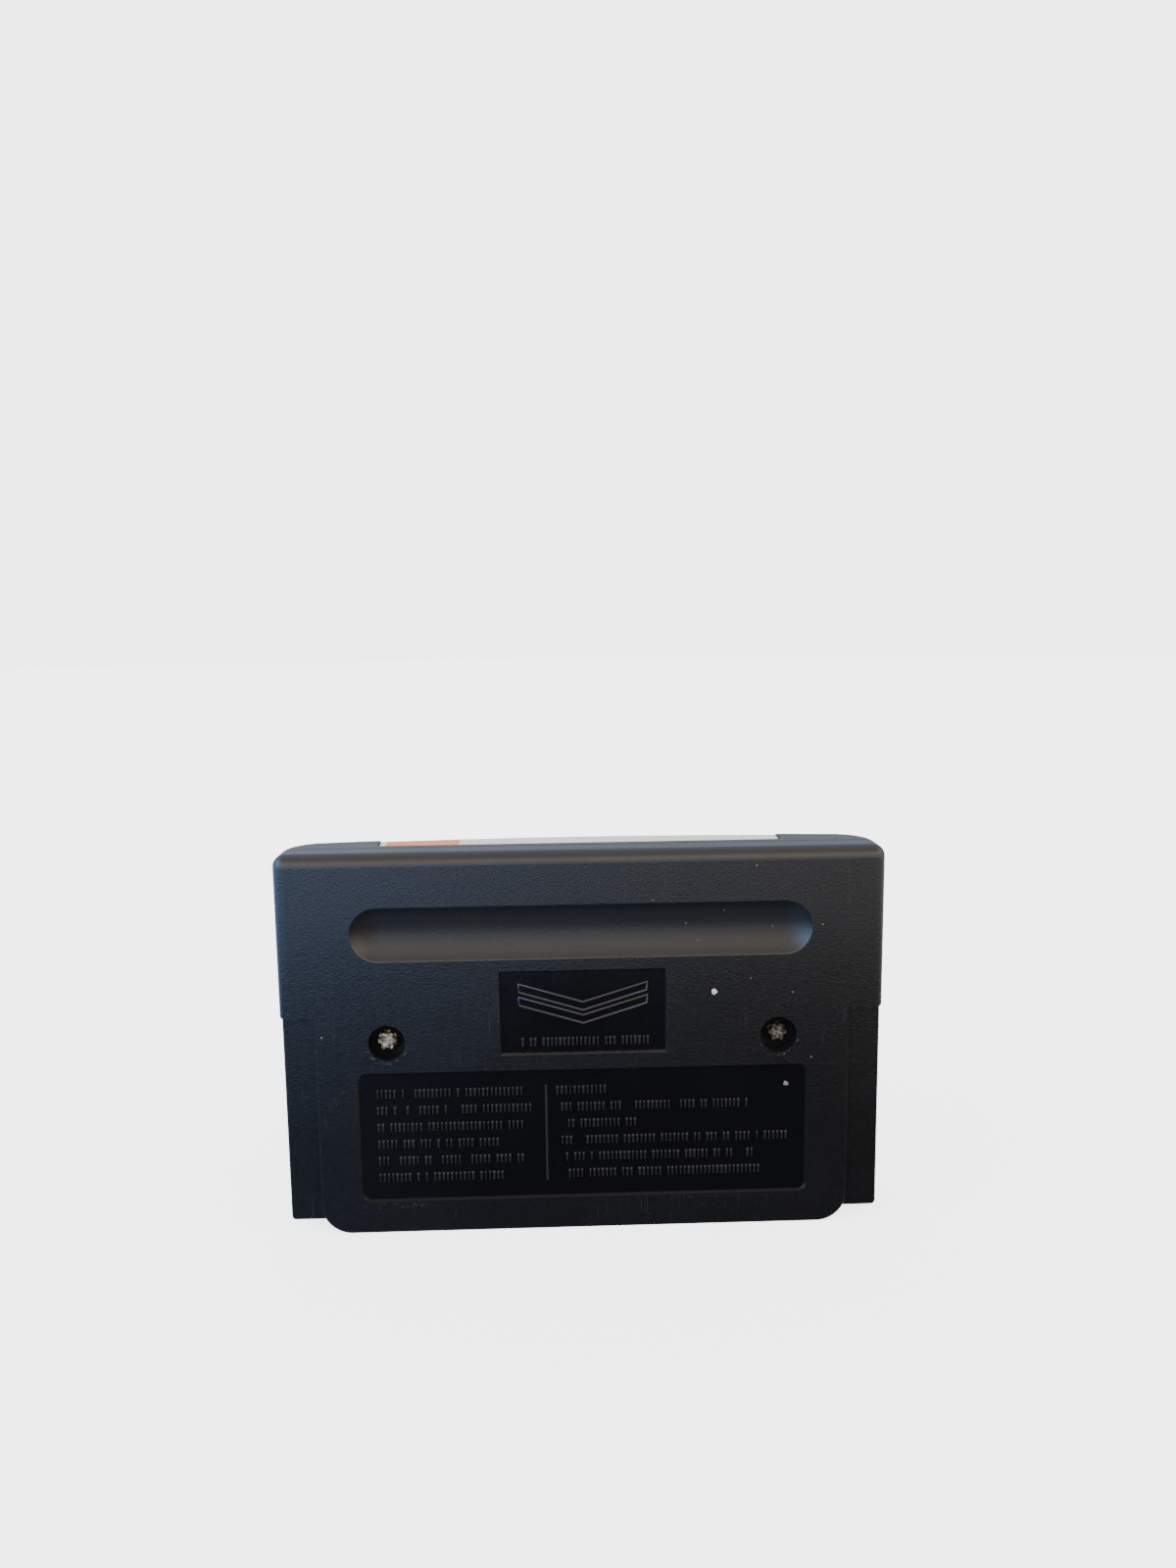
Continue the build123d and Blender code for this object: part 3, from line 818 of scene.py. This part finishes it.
def rib_tree():
    """Puts bars on evenly spaced points of every row, with random gaps and widths."""
    rows, pitch, width, height, relief, gaps = start_tree("raised_ribs", [*rib_sizes, "Gap share"])
    curve = rows.node("GeometryNodeMeshToCurve", {}, {"Mesh": rows})
    points = curve.node("GeometryNodeCurveToPoints", {"mode": "LENGTH"}, {"Curve": curve, "Length": pitch})
    chance = {"Probability": gaps, "Seed": gap_seed}
    gap = rows.node("FunctionNodeRandomValue", {"data_type": "BOOLEAN"}, chance, 3)
    kept = points.node("GeometryNodeDeleteGeometry", {}, {"Geometry": points, "Selection": gap})
    spread = {2: rib_spread[0], 3: rib_spread[1], "Seed": spread_seed}
    wide = rows.node("FunctionNodeRandomValue", {"data_type": "FLOAT"}, spread, 1)
    scale = rows.node("ShaderNodeCombineXYZ", {}, {"X": wide, "Y": 1.0, "Z": 1.0})
    layout = {"Points": kept, "Instance": rib_bar(width, height, relief), "Scale": scale}
    return end_tree(kept.node("GeometryNodeInstanceOnPoints", {}, layout), mark_plastic)


rib_rows = [upper_row]
for starts, ends in (([left_start] * len(left_ends), left_ends), (right_starts, right_ends)):
    for number, (start, end) in enumerate(zip(starts, ends)):
        foot = rows_top - number * row_pitch
        rib_rows.append([(start, foot), (end, foot)])
rib_mesh = path_mesh("raised_ribs", rib_rows, panel_sink + rib_foot)
rib_inputs = {name: size * MM for name, size in rib_sizes.items()}
grow("raised_ribs", rib_mesh, rib_tree(), {**rib_inputs, "Gap share": gap_share})

# %% [markdown]
# ## Specks
# A pale crumb and a brown one stick to the back, with a scatter of dust grains. Each is a real
# bit of matter, so each is a small lump and not a dot of colour. The points carry a size attribute,
# and the tree puts a flattened, uneven ball on each. In the finger groove the points follow the
# round of the groove, so that no grain floats.

# %% Specks on the back
groove_depth = 2.2
groove_radius = (groove_half**2 + groove_depth**2) / (2 * groove_depth)
groove_straight = 40.0
speck_flatness = 0.45
lump_size = 0.3
lump_depth = 0.1
lump_scale = 2.2
turn_seed = 4
cream_speck = (23.4, 44.1)
cream_radii = (1.2, 1.0)
# Across, up and size of each speck
speck_spots = [
    (*cream_speck, 1.0),
    (36.4, 26.5, 0.9),
    (30.8, 66.9, 0.3),
    (12.5, 61.0, 0.24),
    (18.6, 56.2, 0.24),
    (20.6, 53.1, 0.22),
    (34.1, 55.3, 0.24),
    (42.7, 56.0, 0.28),
    (29.9, 46.4, 0.24),
    (37.4, 43.7, 0.26),
    (25.3, 58.6, 0.22),
    (40.9, 31.6, 0.3),
    (-46.4, 37.2, 0.35),
]


def surface_depth(x, z):
    """How deep the surface of the back lies at a place."""
    above = z - groove_middle
    if abs(above) < groove_half and abs(x) < groove_straight:
        return groove_depth - groove_radius + math.sqrt(groove_radius**2 - above**2)
    for panel in (upper_panel, lower_panel):
        if abs(x) < panel["half"] and panel["foot"] < z < panel["top"]:
            return panel_sink
    return 0.0


def speck_finish():
    """Rough brown crumbs, and one that is cream."""
    material, shader, place = start_finish("crumbs")
    x, _, z = place.split()
    crumb = distance_from(x - cream_speck[0], z - cream_speck[1]).ramp(*cream_radii)
    lumps = place.blotches(lump_size, 3.0)
    base = lumps.mix(colour(0.12, 0.1, 0.085), colour(0.24, 0.2, 0.17))
    base = crumb.mix(base, lumps.mix(colour(0.5, 0.42, 0.3), colour(0.75, 0.68, 0.55)))
    normal = lumps.bump(0.6, lump_depth)
    dress(shader, {"Base Color": base, "Roughness": 0.75 + 0.2 * lumps, "Normal": normal})
    return material


def speck_tree():
    """Puts an uneven, flattened ball of its own size on every point."""
    spots, flatness = start_tree("specks", ["Flatness"])
    size = spots.node("GeometryNodeInputNamedAttribute", {"data_type": "FLOAT"}, {"Name": "speck_size"})
    points = spots.node("GeometryNodeMeshToPoints", {}, {"Mesh": spots})
    ball = spots.node("GeometryNodeMeshIcoSphere", {}, {"Radius": 0.5, "Subdivisions": 3})
    noise = ball.node("ShaderNodeTexNoise", {}, {"Scale": lump_scale}, 1)
    push = noise.node("ShaderNodeVectorMath", {"operation": "SUBTRACT"}, {0: noise, 1: (0.5, 0.5, 0.5)})
    lump = ball.node("GeometryNodeSetPosition", {}, {"Geometry": ball, "Offset": push})
    any_turn = {2: 0.0, 3: 2 * math.pi, "Seed": turn_seed}
    turn = spots.node("FunctionNodeRandomValue", {"data_type": "FLOAT"}, any_turn, 1)
    turned = turn.node("ShaderNodeCombineXYZ", {}, {"Y": turn})
    scale = size.node("ShaderNodeCombineXYZ", {}, {"X": size, "Y": size * flatness, "Z": size})
    layout = {"Points": points, "Instance": lump, "Rotation": turned, "Scale": scale}
    return end_tree(points.node("GeometryNodeInstanceOnPoints", {}, layout), speck_finish())


speck_mesh = bpy.data.meshes.new("specks")
speck_places = [(x * MM, (back_plane + surface_depth(x, z)) * MM, z * MM) for x, z, _ in speck_spots]
speck_mesh.from_pydata(speck_places, [], [])
speck_sizes = speck_mesh.attributes.new("speck_size", "FLOAT", "POINT")
speck_sizes.data.foreach_set("value", [size * MM for _, _, size in speck_spots])
grow("specks", speck_mesh, speck_tree(), {"Flatness": speck_flatness})

# %% [markdown]
# ## Floor
# The floor is a plain, pale disc. A white floor would light the dark plastic from below and wash
# out its tones. A photographer would lay dark cards where the plastic mirrors the floor. Here the
# floor's own light is kept off the plastic instead, and it glows a little, so that it stays pale.

# %% Pale floor
floor_reach = 3000.0
floor_drop = 0.05
floor_glow = 3.0
floor_patch = 60.0


def pale_floor():
    """A large plain disc under the cartridge."""
    shape = bmesh.new()
    lowered = Matrix.Translation((0.0, 0.0, -floor_drop * MM))
    bmesh.ops.create_circle(shape, cap_ends=True, segments=96, radius=floor_reach * MM, matrix=lowered)
    mesh = bpy.data.meshes.new("pale_floor")
    shape.to_mesh(mesh)
    shape.free()
    floor = bpy.data.objects.new("pale_floor", mesh)
    bpy.context.scene.collection.objects.link(floor)
    material, shader, place = start_finish("floor_paint")
    pale = place.blotches(floor_patch, 2.0).mix(colour(0.84, 0.84, 0.84), colour(0.88, 0.88, 0.88))
    glow = {"Emission Color": colour(1.0, 1.0, 1.0), "Emission Strength": floor_glow}
    dress(shader, {"Base Color": pale, "Roughness": 0.7, "Specular IOR Level": 0.0, **glow})
    mesh.materials.append(material)
    floor.visible_glossy = False
    floor.visible_diffuse = False
    return floor


floor = pale_floor()
print("floor corners:", len(floor.data.vertices), "across in mm:", 2 * floor_reach)

# %% [markdown]
# ## Light
# The cartridge stands in a soft dome of light, as in a light tent: bright above, dark below, with
# cool daylight on the left and a warmer room on the right. Dark plastic mostly shows what it
# reflects, so the dome is where its tones come from. Each zone of the dome is a soft step along one
# axis, from -1 to 1, and the level is a sum of zones. What the camera sees behind the floor is as
# pale as the floor itself, so no horizon shows.

# %% Light tent
# Axis of each zone, where it starts and where it is full
dome_zones = {
    "window": ("across", -0.3, -0.8),
    "left": ("across", 0.1, -0.25),
    "blue_side": ("across", 0.32, -0.28),
    "table_side": ("across", -0.05, -0.3),
    "right": ("across", 0.35, 0.9),
    "behind": ("along", -0.1, 0.5),
    "below": ("up", -0.5, -0.85),
    "table": ("up", -0.75, -0.35),
    "wall": ("up", -0.27, -0.188),
    "under_behind": ("up", 0.05, -0.1),
    "low": ("up", 0.25, -0.05),
    "sky": ("up", 0.02, 0.42),
    "under_roof": ("up", 0.9, 0.6),
    "ceiling": ("up", 0.45, 0.9),
}
dome_dark = 0.02
below_level = 0.4
wall_level = 1.6
sky_level = 1.6
ceiling_dim = 1.75
right_level = 0.12
table_level = 0.14
left_gain = 1.1
window_share = 0.7
behind_dim = 0.67
behind_glow = 0.9
behind_blue = 0.45
below_blue = 0.85
pale_level = 4.25
warm = colour(1.0, 0.93, 0.85)
lamp = colour(1.0, 0.88, 0.75)
cool = colour(0.46, 0.7, 1.2)
backdrop = colour(0.985, 0.995, 1.02)


def dome_level(zone):
    """How bright the dome is."""
    left = (zone["left"] * zone["low"]).either(window_share * zone["window"])
    level = dome_dark + below_level * zone["below"] + wall_level * zone["wall"] + sky_level * zone["sky"]
    level = level + right_level * zone["right"] + table_level * zone["table_side"] * zone["table"]
    level = (level - ceiling_dim * zone["ceiling"]) * (1 + left_gain * left)
    level = level * (1 - behind_dim * zone["behind"] * zone["under_roof"])
    return level + behind_glow * zone["behind"] * zone["under_behind"]


def dome_tint(zone):
    """What colour the dome has: cool on the left, behind and below, and warm elsewhere."""
    blue = (zone["blue_side"] * zone["low"]).either(zone["window"])
    blue = blue.either(behind_blue * zone["behind"]).either(below_blue * zone["below"])
    return blue.mix((zone["sky"] * (1 - zone["behind"])).mix(warm, lamp), cool)


def light_tent():
    """A world that lights by the dome, and that the camera sees as a pale backdrop."""
    world = bpy.data.worlds.new("light_tent")
    world.use_nodes = True
    tree = world.node_tree
    direction = Wire(tree, tree.nodes.new("ShaderNodeTexCoord").outputs["Generated"])
    seen = Wire(tree, tree.nodes.new("ShaderNodeLightPath").outputs["Is Camera Ray"])
    axes = dict(zip(["across", "along", "up"], direction.split()))
    zone = {name: axes[axis].ramp(start, full) for name, (axis, start, full) in dome_zones.items()}
    level = dome_level(zone)
    background = tree.nodes["Background"]
    feed(background, "Color", seen.mix(dome_tint(zone), backdrop))
    feed(background, "Strength", level + seen * (pale_level - level))
    bpy.context.scene.world = world
    return world


tent = light_tent()
print("dome nodes:", len(tent.node_tree.nodes))

# %% [markdown]
# ## Window
# A dome has no edge, and a little edge makes a form easier to read. One area light stands for a
# window on the left. It is small and weak, and faces the middle of the cartridge. It could also be
# a bright patch in the dome, but a light of its own is easier to move.

# %% Window light
window_place = (-0.8, -0.3, 0.3)  # metres, as are the next two
window_target = (0.0, 0.0, 0.035)
window_size = (0.25, 0.4)
window_tint = (0.62, 0.82, 1.0)
window_power = 0.7  # watts
window = bpy.data.lights.new("cool_window", "AREA")
window.shape = "RECTANGLE"
window.size, window.size_y = window_size
window.color = window_tint
window.energy = window_power
holder = bpy.data.objects.new("cool_window", window)
holder.location = window_place
aim = Vector(window_target) - Vector(window_place)
holder.rotation_euler = aim.to_track_quat("-Z", "Y").to_euler()
bpy.context.scene.collection.objects.link(holder)

# %% [markdown]
# ## Camera
# The photograph was taken close by, from a little above, so the top edge just shows and the sides
# draw together towards the foot. Place, turn and lens were fitted to that view.

# %% Camera
camera_place = (-0.00489, -0.20973, 0.11051)  # metres
camera_turn = (81.884, 0.698, -1.874)  # degrees
frame_width = 36.0
focal_length = 36.0
nearest = 0.01  # metres
lens = bpy.data.cameras.new("portrait_camera")
lens.sensor_fit = "HORIZONTAL"
lens.sensor_width = frame_width
lens.lens = focal_length
lens.clip_start = nearest
camera = bpy.data.objects.new("portrait_camera", lens)
camera.location = camera_place
camera.rotation_euler = [math.radians(angle) for angle in camera_turn]
bpy.context.scene.collection.objects.link(camera)
bpy.context.scene.camera = camera
print("camera at", camera_place)
